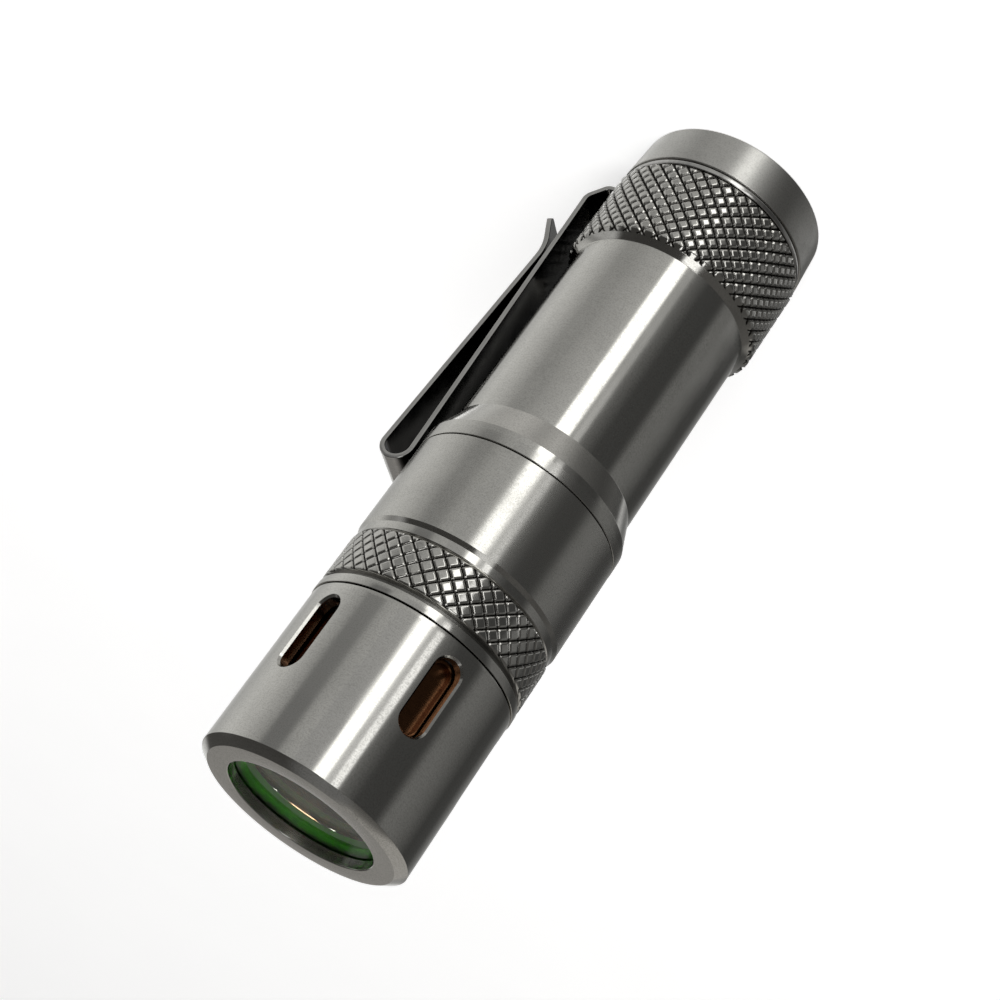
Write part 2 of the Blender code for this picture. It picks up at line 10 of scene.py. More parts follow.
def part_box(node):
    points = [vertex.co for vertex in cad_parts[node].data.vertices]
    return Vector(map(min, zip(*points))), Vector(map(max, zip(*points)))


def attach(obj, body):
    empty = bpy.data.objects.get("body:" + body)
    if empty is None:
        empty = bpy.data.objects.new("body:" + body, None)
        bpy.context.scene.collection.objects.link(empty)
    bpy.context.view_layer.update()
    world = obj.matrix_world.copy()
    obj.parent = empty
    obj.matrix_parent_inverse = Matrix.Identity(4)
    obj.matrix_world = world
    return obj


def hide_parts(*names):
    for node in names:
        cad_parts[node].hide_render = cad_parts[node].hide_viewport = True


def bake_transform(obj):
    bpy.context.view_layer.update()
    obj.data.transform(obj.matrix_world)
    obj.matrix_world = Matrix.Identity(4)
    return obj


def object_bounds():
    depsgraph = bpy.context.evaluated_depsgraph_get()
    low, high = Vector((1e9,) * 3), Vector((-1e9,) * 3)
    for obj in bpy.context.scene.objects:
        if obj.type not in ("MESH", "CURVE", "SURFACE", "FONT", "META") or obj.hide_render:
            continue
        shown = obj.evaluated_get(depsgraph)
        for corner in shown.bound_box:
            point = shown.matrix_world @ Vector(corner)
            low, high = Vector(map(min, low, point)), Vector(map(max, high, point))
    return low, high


# Looks of a keychain flashlight: turned titanium shells with carved knurling, a bent spring clip,
# a green gasket behind the front glass and a small studio of soft panels that the metal reflects.
#
# Sizes are in millimetres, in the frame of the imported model: +Z out of the lens, the clip on +X.

MM = 0.001
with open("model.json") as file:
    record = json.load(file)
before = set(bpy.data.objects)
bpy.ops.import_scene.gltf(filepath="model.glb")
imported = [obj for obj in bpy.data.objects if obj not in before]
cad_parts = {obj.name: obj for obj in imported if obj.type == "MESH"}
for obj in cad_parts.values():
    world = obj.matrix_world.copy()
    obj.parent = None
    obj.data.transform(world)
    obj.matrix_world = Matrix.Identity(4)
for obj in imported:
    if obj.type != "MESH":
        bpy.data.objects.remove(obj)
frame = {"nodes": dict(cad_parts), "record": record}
cad_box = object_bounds()


def span(node):
    """Outer radius, lowest and highest point of a round CAD node, in millimetres."""
    low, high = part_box(node)
    return high.y / MM, low.z / MM, high.z / MM


RING_R, _, NECK_TOP = span("tail_ring")
BARREL_R, BARREL_Z, BARREL_TOP = span("barrel")
MID_R, MID_Z, BAND_TOP = span("head_body")
HEAD_R, HEAD_Z, FACE_Z = span("bezel_shell")
GLASS_R, GLASS_Z, GLASS_TOP = span("lens_glass")
BUTTON_R, BUTTON_Z, BUTTON_TOP = span("tail_button")
CORE_R, CORE_Z, CORE_TOP = span("copper_core")
WASHER_R = span("clip_washer")[0]


# ---------------------------------------------------------------- materials


class Nodes:
    """A short way to wire up one material's or world's nodes."""

    def __init__(self, tree):
        self.tree = tree

    def add(self, kind, ins=(), **settings):
        node = self.tree.nodes.new(kind)
        for key, value in settings.items():
            setattr(node, key, value)
        for key, value in dict(ins).items():
            if isinstance(value, bpy.types.NodeSocket):
                self.tree.links.new(value, node.inputs[key])
            else:
                node.inputs[key].default_value = value
        return node

    def math(self, operation, a, b=0.0, c=0.0, clamp=False):
        return self.add("ShaderNodeMath", {0: a, 1: b, 2: c}, operation=operation, use_clamp=clamp).outputs[0]

    def smooth(self, value, low, high, bottom=0.0, top=1.0):
        """Eases from bottom to top as value goes from low to high."""
        ins = {"Value": value, "From Min": low, "From Max": high, "To Min": bottom, "To Max": top}
        return self.add("ShaderNodeMapRange", ins, interpolation_type="SMOOTHSTEP").outputs["Result"]

    def noise(self, vector, scale, detail=2.0, roughness=0.5):
        ins = {"Vector": vector, "Scale": scale, "Detail": detail, "Roughness": roughness}
        return self.add("ShaderNodeTexNoise", ins).outputs["Fac"]

    def mix(self, share, a, b):
        """Mixes two colours; the Mix node has several sockets of each name, so they go by place."""
        return self.add("ShaderNodeMix", {0: share, 6: a, 7: b}, data_type="RGBA").outputs[2]

    def ramp(self, value, stops):
        node = self.add("ShaderNodeValToRGB", {"Fac": value})
        band = node.color_ramp.elements
        while len(band) < len(stops):
            band.new(0.5)
        for element, (place, colour) in zip(band, stops):
            element.position = place
            element.color = (*colour, 1.0)
        return node.outputs["Color"]

    def place(self):
        """The point on the piece, in the frame, in metres."""
        return self.add("ShaderNodeTexCoord").outputs["Object"]


def colour4(colour):
    return (*colour, 1.0)


def fresh(name):
    """A new material, its shader and its node helper."""
    made = bpy.data.materials.new(name)
    made.use_nodes = True
    nodes = Nodes(made.node_tree)
    return made, made.node_tree.nodes["Principled BSDF"], nodes


def turning_marks(nodes, place, per_mm=26.0, along_mm=1.1):
    """Fine marks that run round the axis on the sides and in rings on the end faces."""
    parts = nodes.add("ShaderNodeSeparateXYZ", {0: place}).outputs
    flat = nodes.add("ShaderNodeCombineXYZ", {0: parts[0], 1: parts[1]}).outputs[0]
    radius = nodes.add("ShaderNodeVectorMath", {0: flat}, operation="LENGTH").outputs["Value"]
    across = nodes.math("MULTIPLY", nodes.math("ADD", radius, parts[2]), per_mm / MM)
    x = nodes.math("MULTIPLY", parts[0], along_mm / MM)
    y = nodes.math("MULTIPLY", parts[1], along_mm / MM)
    spread = nodes.add("ShaderNodeCombineXYZ", {0: x, 1: y, 2: across}).outputs[0]
    return nodes.noise(spread, 1.0, 3.0, 0.6)


def turned_metal(name, base, dark, roughness, anisotropy=0.8, bump=0.3, grooves=False, satin=None):
    """Lathe-turned metal. Its reflections run sharp round the axis and spread along it."""
    made, shader, nodes = fresh(name)
    place = nodes.place()
    lines = turning_marks(nodes, place)
    cloud = nodes.noise(place, 260.0, 4.0, 0.6)
    grain = nodes.noise(place, 8000.0, 2.0, 0.7)
    tone = nodes.smooth(lines, 0.3, 0.7, 0.0, 0.55)
    colour = nodes.mix(tone, colour4(base), colour4(dark))
    hazy = nodes.smooth(cloud, 0.35, 0.75, 0.0, 0.45)
    colour = nodes.mix(hazy, colour, colour4([0.84 * c for c in base]))
    specks = nodes.smooth(grain, 0.42, 0.68, 0.0, 0.34)
    colour = nodes.mix(specks, colour, colour4([0.62 * c for c in dark]))
    rough = nodes.math("ADD", nodes.smooth(cloud, 0.3, 0.8, -0.02, 0.05), roughness)
    rough = nodes.math("ADD", rough, nodes.smooth(lines, 0.3, 0.75, -0.02, 0.03))
    rough = nodes.math("ADD", rough, nodes.smooth(grain, 0.3, 0.75, -0.02, 0.05))
    if satin:
        height = nodes.add("ShaderNodeSeparateXYZ", {0: place}).outputs[2]
        inside = nodes.math("MULTIPLY", nodes.smooth(height, (satin[0] - 0.1) * MM, satin[0] * MM),
                            nodes.smooth(height, satin[1] * MM, (satin[1] + 0.1) * MM, 1.0, 0.0))
        rough = nodes.math("ADD", rough, nodes.math("MULTIPLY", inside, 0.09))
    # Painted shade: groove floors are darkened to near-black and made rougher by the groove share of each point,
    # held in worn, which is not wear.
    if grooves:
        worn = nodes.add("ShaderNodeAttribute", attribute_name="groove").outputs["Fac"]
        painted_groove_shade = nodes.smooth(worn, 0.18, 0.8)
        colour = nodes.mix(painted_groove_shade, colour, colour4((0.035, 0.032, 0.028)))
        rough = nodes.math("ADD", rough, nodes.math("MULTIPLY", painted_groove_shade, 0.35))
    nodes.tree.links.new(colour, shader.inputs["Base Color"])
    nodes.tree.links.new(rough, shader.inputs["Roughness"])
    shader.inputs["Metallic"].default_value = 1.0
    shader.inputs["Anisotropic"].default_value = anisotropy
    shader.inputs["Anisotropic Rotation"].default_value = 0.25
    tangent = nodes.add("ShaderNodeTangent", direction_type="RADIAL", axis="Z").outputs[0]
    nodes.tree.links.new(tangent, shader.inputs["Tangent"])
    relief = nodes.math("ADD", nodes.math("MULTIPLY", lines, 0.5), nodes.math("MULTIPLY", grain, 0.5))
    bumped = nodes.add("ShaderNodeBump", {"Strength": bump, "Distance": 0.0015 * MM, "Height": relief})
    nodes.tree.links.new(bumped.outputs[0], shader.inputs["Normal"])
    return made


def sheet_steel(name, base, roughness, inner=1.0):
    """Polished spring steel with faint marks along the strip; inner is painted shade: the faces inside the clip's
    fold are darkened to that share of the base colour.
    """
    made, shader, nodes = fresh(name)
    place = nodes.place()
    scaled = nodes.add("ShaderNodeVectorMath", {0: place, 1: (1500, 14000, 300)}, operation="MULTIPLY")
    lines = nodes.noise(scaled.outputs[0], 1.0, 3.0, 0.6)
    cloud = nodes.noise(place, 420.0, 4.0, 0.6)
    tone = nodes.smooth(lines, 0.35, 0.7, 0.0, 0.6)
    colour = nodes.mix(tone, colour4(base), colour4([0.7 * c for c in base]))
    # Painted shade: faces turned into the fold, towards -X or down, are darkened to inner times the base colour.
    if inner < 1.0:
        normal = nodes.add("ShaderNodeTexCoord").outputs["Normal"]
        parts = nodes.add("ShaderNodeSeparateXYZ", {0: normal}).outputs
        shade = nodes.math("MAXIMUM", nodes.smooth(parts[0], -0.75, -0.15, 1.0, 0.0),
                           nodes.smooth(parts[2], -0.85, -0.30, 1.0, 0.0))
        colour = nodes.mix(shade, colour, colour4([inner * c for c in base]))
    nodes.tree.links.new(colour, shader.inputs["Base Color"])
    rough = nodes.math("ADD", nodes.smooth(cloud, 0.3, 0.8, -0.04, 0.10), roughness)
    nodes.tree.links.new(rough, shader.inputs["Roughness"])
    shader.inputs["Metallic"].default_value = 1.0
    bumped = nodes.add("ShaderNodeBump", {"Strength": 0.2, "Distance": 0.004 * MM, "Height": lines})
    nodes.tree.links.new(bumped.outputs[0], shader.inputs["Normal"])
    return made


def matte(name, base, other, roughness, scale, bump=0.3, metallic=0.0, specular=0.5):
    """Rubber, plastic, board lacquer or plating: two close tones, cloudy gloss and a fine grain."""
    made, shader, nodes = fresh(name)
    place = nodes.place()
    grain = nodes.noise(place, scale, 3.0, 0.6)
    cloud = nodes.noise(place, scale * 0.12, 2.0, 0.5)
    colour = nodes.mix(nodes.smooth(cloud, 0.3, 0.7), colour4(base), colour4(other))
    nodes.tree.links.new(colour, shader.inputs["Base Color"])
    rough = nodes.math("ADD", nodes.smooth(grain, 0.3, 0.7, -0.05, 0.08), roughness)
    nodes.tree.links.new(rough, shader.inputs["Roughness"])
    shader.inputs["Metallic"].default_value = metallic
    shader.inputs["Specular IOR Level"].default_value = specular
    bumped = nodes.add("ShaderNodeBump", {"Strength": bump, "Distance": 0.01 * MM, "Height": grain})
    nodes.tree.links.new(bumped.outputs[0], shader.inputs["Normal"])
    return made


def clear(name, tint, roughness, ior, haze):
    """Clear glass or moulded acrylic, with faint smears that change its gloss and tint."""
    made, shader, nodes = fresh(name)
    place = nodes.place()
    smear = nodes.noise(place, 350.0, 3.0, 0.6)
    colour = nodes.mix(nodes.smooth(smear, 0.3, 0.75), colour4(tint), colour4([0.93 * c for c in tint]))
    nodes.tree.links.new(colour, shader.inputs["Base Color"])
    rough = nodes.smooth(smear, 0.3, 0.8, roughness, roughness + haze)
    nodes.tree.links.new(rough, shader.inputs["Roughness"])
    shader.inputs["Transmission Weight"].default_value = 1.0
    shader.inputs["IOR"].default_value = ior
    return made


def phosphor_painted_glow(name):
    """The light source's yellow phosphor with a painted glow: it emits light although the light is off."""
    made = matte(name, (0.95, 0.66, 0.20), (1.0, 0.76, 0.34), 0.35, 2600.0)
    shader = made.node_tree.nodes["Principled BSDF"]
    # Painted glow: the phosphor emits light although it is no lamp here.
    shader.inputs["Emission Color"].default_value = (1.0, 0.70, 0.46, 1.0)
    shader.inputs["Emission Strength"].default_value = 4.0
    return made


TITANIUM = turned_metal("titanium", (0.65, 0.64, 0.605), (0.54, 0.53, 0.495), 0.13)
# Knurled titanium with painted shade darkening its grooves.
TITANIUM_KNURLED = turned_metal("titanium_knurled", (0.65, 0.64, 0.605), (0.54, 0.53, 0.495), 0.13,
                                grooves=True, satin=(36.0, 45.5))
TITANIUM_SATIN = turned_metal("titanium_satin", (0.68, 0.672, 0.64), (0.58, 0.575, 0.545), 0.36, 0.7)
COPPER = turned_metal("copper", (0.20, 0.088, 0.040), (0.05, 0.026, 0.016), 0.26, 0.4)
CLIP_STEEL = sheet_steel("clip_steel", (0.58, 0.57, 0.55), 0.16)
# Clip steel with painted shade on the faces inside the fold.
CLIP_FOLD_PAINTED_SHADE = sheet_steel("clip_fold_painted_shade", (0.58, 0.57, 0.55), 0.16, inner=0.02)
RUBBER = matte("black_rubber", (0.016, 0.016, 0.017), (0.026, 0.026, 0.026), 0.55, 5000.0)
GLOW_RUBBER = matte("glow_rubber", (0.030, 0.22, 0.006), (0.045, 0.28, 0.010), 0.5, 3500.0, specular=0.2)
GLASS = clear("lens_glass", (0.93, 0.97, 0.92), 0.0, 1.22, 0.02)
ACRYLIC = clear("optic_acrylic", (0.93, 0.93, 0.86), 0.02, 1.40, 0.05)

SLOT_LOOKS = {
    "titanium": TITANIUM_SATIN,
    "clip_steel": CLIP_STEEL,
    "copper": COPPER,
    "black_rubber": RUBBER,
    "glow_rubber": GLOW_RUBBER,
    "lens_glass": GLASS,
    "optic_acrylic": ACRYLIC,
    "led_phosphor": phosphor_painted_glow("led_phosphor"),
    "spring_steel": sheet_steel("spring_steel", (0.60, 0.58, 0.54), 0.2),
    "gold_plate": matte("gold_plate", (0.86, 0.62, 0.26), (0.74, 0.50, 0.20), 0.22, 4000.0, 0.15, 1.0),
    "brass": turned_metal("brass", (0.74, 0.56, 0.28), (0.58, 0.42, 0.20), 0.25),
    "nickel_plate": turned_metal("nickel_plate", (0.68, 0.66, 0.62), (0.58, 0.56, 0.53), 0.2, 0.3),
    "white_plastic": matte("white_plastic", (0.82, 0.82, 0.79), (0.76, 0.76, 0.72), 0.4, 4500.0),
    "black_plastic": matte("black_plastic", (0.035, 0.035, 0.036), (0.05, 0.05, 0.05), 0.38, 4500.0),
    "cell_sleeve": matte("cell_sleeve", (0.16, 0.27, 0.44), (0.20, 0.32, 0.50), 0.28, 1800.0, 0.1),
    "circuit_board": matte("circuit_board", (0.02, 0.20, 0.09), (0.03, 0.26, 0.12), 0.33, 2500.0),
    "led_board_mask": matte("led_board_mask", (0.80, 0.80, 0.75), (0.74, 0.74, 0.69), 0.35, 3000.0),
    "red_wire": matte("red_wire", (0.50, 0.02, 0.02), (0.60, 0.04, 0.03), 0.42, 5000.0),
    "black_wire": matte("black_wire", (0.02, 0.02, 0.02), (0.035, 0.035, 0.035), 0.42, 5000.0),
}


def dress_cad_nodes():
    """Gives every CAD node that stays the finish of its slot in the record."""
    for row in frame["record"]["subparts"]:
        node = frame["nodes"][row["node"]]
        node.data.materials.clear()
        node.data.materials.append(SLOT_LOOKS[row["material_slot"]])


# ---------------------------------------------------------------- mesh helpers


def rounded(before, corner, after, radius, steps):
    """The points of an arc that takes the place of a corner of a 2D line."""
    into, out = (before - corner).normalized(), (after - corner).normalized()
    half = into.angle(out) / 2
    centre = corner + (into + out).normalized() * (radius / math.sin(half))
    first = corner + into * (radius / math.tan(half)) - centre
    last = corner + out * (radius / math.tan(half)) - centre
    turn = math.atan2(first.x * last.y - first.y * last.x, first.dot(last))
    return [centre + Matrix.Rotation(turn * k / steps, 2) @ first for k in range(steps + 1)]


def eased(profile, segments=3):
    """Rounds the corners of a closed profile of (radius, height) or (radius, height, rounding) points."""
    plain = [Vector(p[:2]) for p in profile]
    line = []
    for i, point in enumerate(profile):
        if len(point) > 2:
            line += rounded(plain[i - 1], plain[i], plain[(i + 1) % len(plain)], point[2], segments)
        else:
            line.append(plain[i])
    return [(spot.x, spot.y) for spot in line]


class Lathe:
    """Builds one closed turned mesh out of rings of points, top to bottom outside and back up inside."""

    def __init__(self, columns):
        self.columns = columns
        self.points = []
        self.faces = []
        self.groove = []
        self.rings = []

    def ring(self, radius, z, shift=0.0, groove=0.0):
        """One ring; radius and groove are numbers or arrays with a value for each column."""
        angles = (np.arange(self.columns) + shift) * 2 * math.pi / self.columns
        radii = np.broadcast_to(radius, angles.shape)
        first = len(self.points)
        self.points += list(zip(radii * np.cos(angles), radii * np.sin(angles), np.full(self.columns, z)))
        self.groove += list(np.broadcast_to(groove, angles.shape))
        return list(range(first, first + self.columns))

    def join(self, upper, lower):
        for i in range(self.columns):
            j = (i + 1) % self.columns
            self.faces.append((upper[i], lower[i], lower[j], upper[j]))

    def run(self, profile, groove=0.0):
        """Adds a ring for each point of a profile, each joined to the one before."""
        for radius, z in profile:
            made = self.ring(radius, z, groove=groove)
            if self.rings:
                self.join(self.rings[-1], made)
            self.rings.append(made)
        return self

    def knurl(self, grip):
        """Goes down from the last ring through the diamond pattern of a grip."""
        rows = grip.rows(self.columns)
        lattice = [self.ring(radius, z, shift, groove) for radius, z, shift, groove in rows]
        self.join(self.rings[-1], lattice[0])
        count = self.columns
        for k in range(len(lattice) - 2):
            top, middle, low = lattice[k], lattice[k + 1], lattice[k + 2]
            back = -1 if rows[k][2] == rows[0][2] else 0
            for i in range(count):
                left, right = middle[(i + back) % count], middle[(i + back + 1) % count]
                self.faces.append((top[i], left, low[i], right))
        for i in range(count):
            j = (i + 1) % count
            self.faces.append((lattice[0][i], lattice[1][i], lattice[0][j]))
            self.faces.append((lattice[-1][i], lattice[-1][j], lattice[-2][i]))
        self.rings.append(lattice[-1])
        return self

    def helix(self, crest, root, top, bottom, pitch, start):
        """Goes down through a rounded thread that fades out at both of its ends."""
        rows = round((top - bottom) / pitch * 12)
        angles = np.arange(self.columns) * 2 * math.pi / self.columns
        for k in range(rows + 1):
            z = top + (bottom - top) * k / rows
            wave = np.sin((z - start) / pitch * 2 * math.pi - angles)
            shape = 0.5 + 0.5 * np.clip(1.5 * wave, -1, 1)
            fade = min(1.0, (top - z) / pitch, (z - bottom) / pitch)
            made = self.ring(crest - (crest - root) * fade * (1 - shape), z)
            self.join(self.rings[-1], made)
            self.rings.append(made)
        return self

    def pole(self, z, top):
        """Closes the first or the last ring with a fan to a point on the axis."""
        edge = self.rings[0] if top else self.rings[-1]
        self.points.append((0.0, 0.0, z))
        self.groove.append(0.0)
        middle = len(self.points) - 1
        for i in range(self.columns):
            j = (i + 1) % self.columns
            self.faces.append((middle, edge[i], edge[j]) if top else (middle, edge[j], edge[i]))
        return self

    def done(self, name, closed=True):
        if closed:
            self.join(self.rings[-1], self.rings[0])
        return make_object(name, self.points, self.faces, self.groove)


def make_object(name, points, faces, groove=None):
    mesh = bpy.data.meshes.new(name)
    mesh.from_pydata([(x * MM, y * MM, z * MM) for x, y, z in points], [], faces)
    # The groove share of each point is stored for the knurled finish, which darkens it as painted shade.
    if groove is not None and max(groove) > 0:
        attribute = mesh.attributes.new("groove", "FLOAT", "POINT")
        attribute.data.foreach_set("value", np.array(groove, np.float32))
    shape = bmesh.new()
    shape.from_mesh(mesh)
    bmesh.ops.recalc_face_normals(shape, faces=shape.faces)
    shape.to_mesh(mesh)
    shape.free()
    made = bpy.data.objects.new(name, mesh)
    bpy.context.scene.collection.objects.link(made)
    return made


def keep_corners(mesh, sharp, knurled):
    """Marks sharp edges; inside the knurled heights only the steepest, so that the diamonds look worn."""
    shape = bmesh.new()
    shape.from_mesh(mesh)
    low, high = knurled
    for edge in shape.edges:
        worn = all(low < vert.co.z / MM < high for vert in edge.verts)
        edge.smooth = edge.calc_face_angle(0.0) < math.radians(75.0 if worn else sharp)
    shape.to_mesh(mesh)
    shape.free()


def finish(piece, look, body, slot, *nodes, sharp=16.0, knurled=(0.0, 0.0)):
    """Shades a piece, gives it its finish and hangs it on its body in place of its CAD nodes."""
    piece.data.materials.clear()
    piece.data.materials.append(look)
    piece.data.shade_smooth()
    keep_corners(piece.data, sharp, knurled)
    normals = piece.modifiers.new("normals", "WEIGHTED_NORMAL")
    normals.keep_sharp = True
    if nodes:
        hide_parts(*nodes)
    if body:
        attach(piece, body)
    return piece


class Grip:
    """A band of diamond knurling: two families of grooves that cross. Its rows of points are
    staggered so that mesh edges run along the grooves. One crossing lies at cross_z and cross_angle,
    a diamond is cell high and 2 * steps rows tall, and chamfers are (radius, height, slope) limits."""

    def __init__(self, radius, top, bottom, cross_z, cell, cross_angle, steps, depth, chamfers):
        self.radius, self.depth, self.steps = radius, depth, steps
        self.cross_angle = math.radians(cross_angle)
        self.chamfers = chamfers
        self.pitch = cell / (2 * steps)
        self.cross_z = cross_z
        self.above = math.ceil((top - cross_z) / self.pitch)
        self.below = math.ceil((cross_z - bottom) / self.pitch)
        if (self.above + self.below) % 2:
            self.above += 1

    def rows(self, columns):
        """(radii, height, shift, groove) for each row, top to bottom."""
        made = []
        turn = self.cross_angle * columns / (2 * math.pi)
        for k in range(self.above, -self.below - 1, -1):
            z = self.cross_z + k * self.pitch
            odd = (k - self.above) % 2
            base = (self.above % 2) * 0.5
            s = 2 * (np.arange(columns) + base + (0.5 if odd else 0.0))
            u, v = (s + k) / (2 * self.steps), (s - k) / (2 * self.steps)
            away = np.minimum(np.abs(u - np.round(u)), np.abs(v - np.round(v)))
            groove = np.clip(1 - away * self.steps, 0, 1)
            radius = self.radius - self.depth * groove
            for line_r, line_z, slope in self.chamfers:
                radius = np.minimum(radius, line_r - slope * (z - line_z))
            made.append((radius, z, turn + base + (0.5 if odd else 0.0), groove))
        return made


# ---------------------------------------------------------------- tail


def make_tail():
    """Satin end ring with a threaded neck, and the flush button with its dish and turning rings."""
    neck_r, bore, lip = 7.45, 6.3, 5.0
    shell = Lathe(160).run(eased([(bore, NECK_TOP), (neck_r - 0.3, NECK_TOP), (neck_r, NECK_TOP - 0.3)], 2))
    shell.helix(neck_r, neck_r - 0.32, top=NECK_TOP - 0.3, bottom=5.2, pitch=0.75, start=5.2)
    shell.run(eased([
        (neck_r, 5.2),
        (neck_r, 4.25, 0.05),
        (neck_r + 0.05, 4.13),
        (RING_R - 0.02, 4.13, 0.10),
        (RING_R - 0.27, 0.0, 0.28),
        (lip + 0.32, 0.0, 0.12),
        (lip, 0.3, 0.12),
        (lip, 2.8),
        (5.7, 2.8),
        (5.7, 7.6),
        (bore, 7.6),
    ]))
    ring = shell.done("tail_ring_shell")
    finish(ring, TITANIUM_SATIN, "tail", "titanium", "tail_ring")

    face = 4.85
    button = Lathe(160).run(eased([
        (BUTTON_R, BUTTON_TOP),
        (BUTTON_R, 2.9),
        (face, 2.9),
        (face, BUTTON_Z + 0.02, 0.25),
        (3.9, BUTTON_Z, 0.3),
        (3.6, BUTTON_Z + 0.14, 0.3),
        (0.6, BUTTON_Z + 0.14),
    ], 4))
    button.pole(BUTTON_TOP, True).pole(BUTTON_Z + 0.14, False)
    finish(button.done("button_cap", closed=False), TITANIUM_SATIN, "button", "titanium", "tail_button")


def coil(name, node, bottom_r, top_r, turns, wire_r):
    """A spring of round wire as high as its CAD node, with level end turns; also gives its two ends."""
    low, high = span(node)[1:]
    count, sides = round(turns * 28), 10
    centres = []
    for i in range(count + 1):
        share = i / count
        angle = 2 * math.pi * turns * share
        radius = bottom_r + (top_r - bottom_r) * share
        rise = share * share * (3 - 2 * share)
        z = low + wire_r + (high - low - 2 * wire_r) * rise
        centres.append(Vector((radius * math.cos(angle), radius * math.sin(angle), z)))
    points, faces = [], []
    for i, centre in enumerate(centres):
        along = (centres[min(i + 1, count)] - centres[max(i - 1, 0)]).normalized()
        out = Vector((centre.x, centre.y, 0))
        out = (out - along * out.dot(along)).normalized()
        up = along.cross(out)
        for k in range(sides):
            a = 2 * math.pi * k / sides
            points.append(tuple(centre + out * (wire_r * math.cos(a)) + up * (wire_r * math.sin(a))))
    for i in range(count):
        for k in range(sides):
            j = (k + 1) % sides
            faces.append((i * sides + k, i * sides + j, (i + 1) * sides + j, (i + 1) * sides + k))
    faces += [tuple(range(sides)), tuple(range(count * sides, (count + 1) * sides))]
    return make_object(name, points, faces), (0, 0, low * MM), (0, 0, high * MM)


RETURN_SPRING = {"bottom_r": 1.9, "top_r": 1.9, "turns": 2.5, "wire_r": 0.14}
CELL_SPRING = {"bottom_r": 3.6, "top_r": 2.2, "turns": 4.5, "wire_r": 0.28}


def make_springs():
    """The button's return spring and the cell's contact spring, each between the pieces that it pushes apart."""
    spring, low, high = coil("switch_return_spring", "switch_spring", **RETURN_SPRING)
    finish(spring, SLOT_LOOKS["spring_steel"], None, "spring_steel", "switch_spring", sharp=60.0)
    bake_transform(spring)
    spring, low, high = coil("cell_contact_spring", "tail_spring", **CELL_SPRING)
    finish(spring, SLOT_LOOKS["gold_plate"], None, "gold_plate", "tail_spring", sharp=60.0)
    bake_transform(spring)


# ---------------------------------------------------------------- barrel


def make_barrel():
    """Cell tube: grip with a chamfered front edge, slim tube, flared shoulder and threaded neck."""
    bore, thread_bore, neck_r, tube_r = 7.2, 7.6, 8.0, 8.17
    grip_r, shoulder_r = 8.95, BARREL_R
    grip = Grip(
        grip_r, top=13.1, bottom=BARREL_Z + 0.05, cross_z=12.78, cell=1.30, cross_angle=2.2,
        steps=6, depth=0.30, chamfers=[(grip_r, 12.78, 1.0), (grip_r, BARREL_Z + 0.28, -1.0)],
    )
    shell = Lathe(240).run([(bore, BARREL_TOP), (neck_r - 0.3, BARREL_TOP), (neck_r, BARREL_TOP - 0.3)])
    shell.helix(neck_r, neck_r - 0.3, top=BARREL_TOP - 0.3, bottom=38.7, pitch=0.8, start=38.7)
    shell.run([(neck_r, 38.6), (neck_r, 38.36), (7.42, 38.36), (7.42, 37.64), (neck_r, 37.64)])
    shell.run(eased([
        (neck_r, 37.64),
        (neck_r, 36.85),
        (shoulder_r - 0.01, 36.85, 0.07),
        (shoulder_r - 0.01, 35.4, 0.12),
        (tube_r, 32.8, 0.15),
        (tube_r, 25.0),
        (tube_r, 13.65, 0.12),
        (8.6, 13.13),
    ], 5)[1:])
    shell.knurl(grip)
    shell.run(eased([
        (8.6, BARREL_Z),
        (thread_bore + 0.1, BARREL_Z, 0.04),
        (thread_bore, BARREL_Z + 0.1),
        (thread_bore, 10.8),
        (bore, 10.8),
    ]))
    finish(shell.done("barrel_shell"), TITANIUM_KNURLED, "barrel", "titanium", "barrel", knurled=(5.0, 12.9))


# ---------------------------------------------------------------- head


def make_head_sleeve():
    """Plain mid section, narrow collar, grip and front band, turned from one piece."""
    seat, bore, grip_r, collar_r = 7.7, 8.15, 9.05, 8.89
    grip = Grip(
        grip_r, top=50.76, bottom=47.0, cross_z=50.70, cell=1.34, cross_angle=7.0,
        steps=8, depth=0.22, chamfers=[(grip_r, 50.70, 0.55), (grip_r, 46.98, -0.9)],
    )
    shell = Lathe(320).run(eased([
        (seat, BAND_TOP),
        (9.08, BAND_TOP, 0.06),
        (9.08, 51.38, 0.08),
        (8.8, 51.30),
    ]))
    # Painted shade: the floor of this ring groove gets a groove share of 0.55, so the knurled finish darkens it.
    shell.run([(8.62, 51.22), (8.62, 50.98), (8.80, 50.86)], groove=0.55)
    shell.knurl(grip)
    shell.run(eased([
        (8.80, 46.70),
        (collar_r, 46.62, 0.04),
        (collar_r, 45.92, 0.05),
        (MID_R - 0.01, 45.55, 0.06),
        (MID_R - 0.01, 41.0),
        (MID_R - 0.01, MID_Z, 0.06),
        (bore, MID_Z),
        (bore, 43.0),
        (seat, 43.0),
    ]))
    finish(shell.done("head_sleeve"), TITANIUM_KNURLED, "head", "titanium", "head_body", knurled=(46.9, 50.8))


def slot_cutter(name, rings, angle, width, length, mid_z):
    """A round-ended block through one side of the head; rings are (distance from axis, widening)."""
    outline = []
    for end in (1, -1):
        for k in range(17):
            a = math.pi * k / 16 if end > 0 else math.pi + math.pi * k / 16
            outline.append((math.cos(a), math.sin(a), end))
    points, faces = [], []
    straight = (length - width) / 2
    for reach, wider in rings:
        for c, s, end in outline:
            across = (width / 2 + wider) * c
            along = mid_z + end * straight + (width / 2 + wider) * s
            a = math.radians(angle) + math.asin(across / reach)
            points.append((reach * math.cos(a), reach * math.sin(a), along))
    count = len(outline)
    for k in range(len(rings) - 1):
        for i in range(count):
            j = (i + 1) % count
            faces.append((k * count + i, k * count + j, (k + 1) * count + j, (k + 1) * count + i))
    faces.append(tuple(range(count)))
    faces.append(tuple(range((len(rings) - 1) * count, len(rings) * count)))
    return make_object(name, points, faces)


